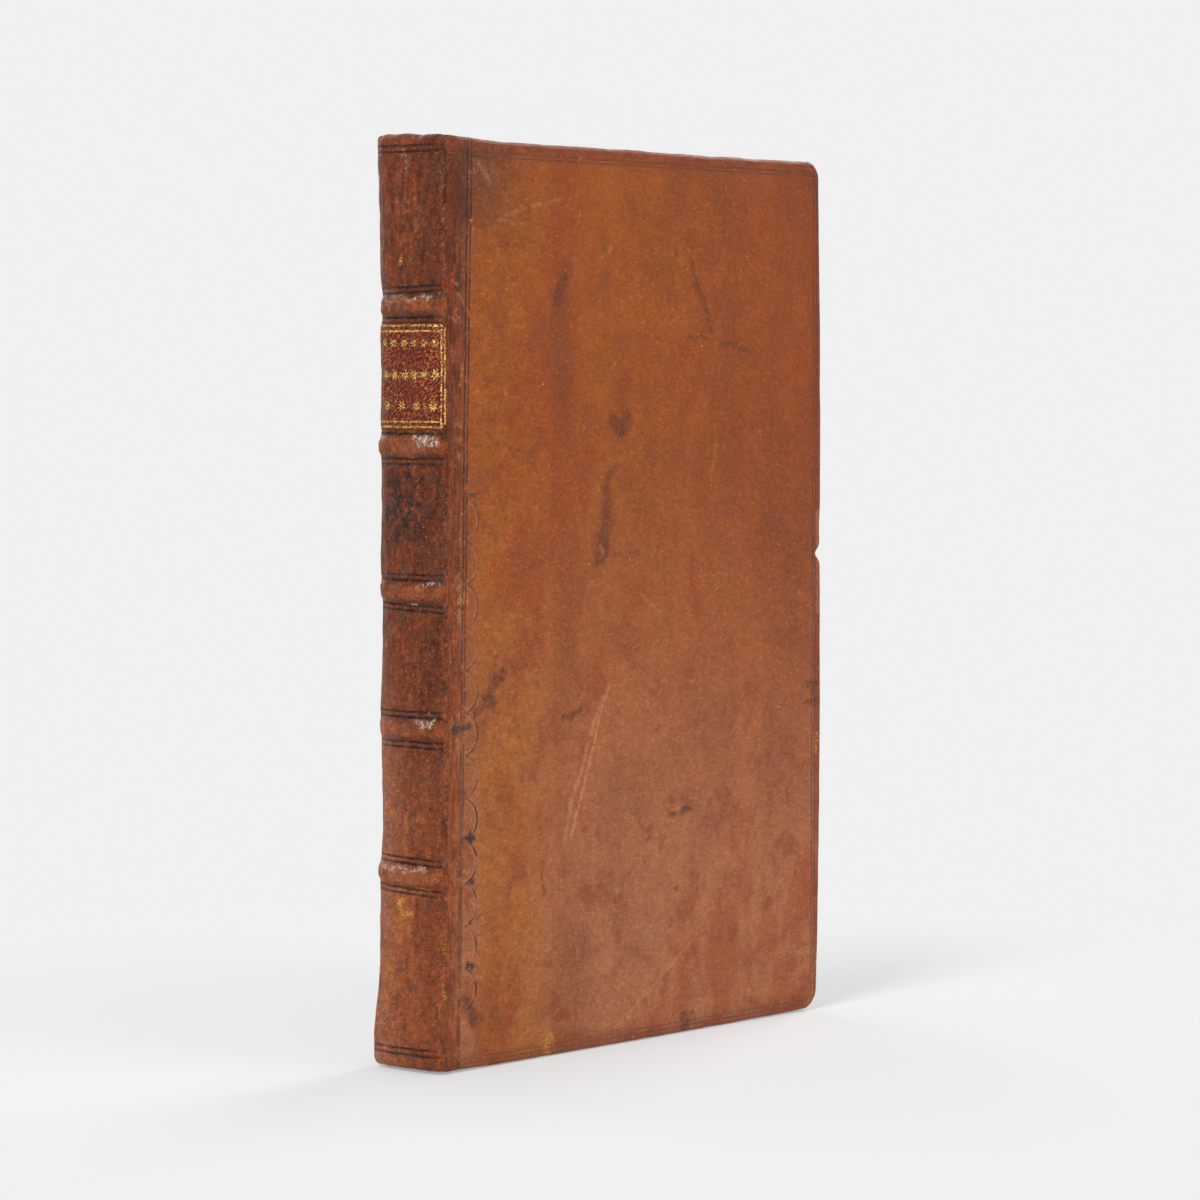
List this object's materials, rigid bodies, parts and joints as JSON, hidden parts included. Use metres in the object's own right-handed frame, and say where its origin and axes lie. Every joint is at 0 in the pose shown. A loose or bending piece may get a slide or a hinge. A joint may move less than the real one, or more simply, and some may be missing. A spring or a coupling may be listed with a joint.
{
  "type": "antique leather book",
  "caption": "Slim antique octavo in full calf with raised bands, a title label and hinged boards, standing on its tail.",
  "frame": {"origin": "centre of the footprint, on the surface that the book stands on at its tail", "axes": "+Z from tail to head, +X from the spine to the fore-edge, +Y from the front cover to the back cover"},
  "size_m": [0.1321, 0.0204, 0.2064],
  "materials": {
    "calf": "worn satin tan calf",
    "label_leather": "grained red-brown, gilt rules",
    "paper": "matte, aged laid paper",
    "pasteboard": "matte grey-brown pasteboard",
    "hemp_cord": "matte twisted hemp",
    "endband_silk": "sewn thread in two colours"
  },
  "bodies": {
    "book_block": {"text_block": "paper", "front_flyleaf": "paper", "back_flyleaf": "paper", "sewing_cord_1": "hemp_cord", "sewing_cord_2": "hemp_cord", "sewing_cord_3": "hemp_cord", "sewing_cord_4": "hemp_cord", "sewing_cord_5": "hemp_cord", "head_endband": "endband_silk", "tail_endband": "endband_silk", "spine_leather": "calf", "title_label": "label_leather"},
    "front_cover": {"front_board": "pasteboard", "front_board_leather": "calf", "front_cord_slips": "hemp_cord", "front_pastedown": "paper"},
    "back_cover": {"back_board": "pasteboard", "back_board_leather": "calf", "back_cord_slips": "hemp_cord", "back_pastedown": "paper"}
  },
  "joints": [
    {"name": "front_cover_hinge", "type": "hinge", "parent": "book_block", "child": "front_cover", "pos_m": [-0.06235, -0.0102, 0], "axis": [0, 0, -1], "range_deg": [0, 170]},
    {"name": "back_cover_hinge", "type": "hinge", "parent": "book_block", "child": "back_cover", "pos_m": [-0.06235, 0.0102, 0], "axis": [0, 0, 1], "range_deg": [0, 170]}
  ]
}
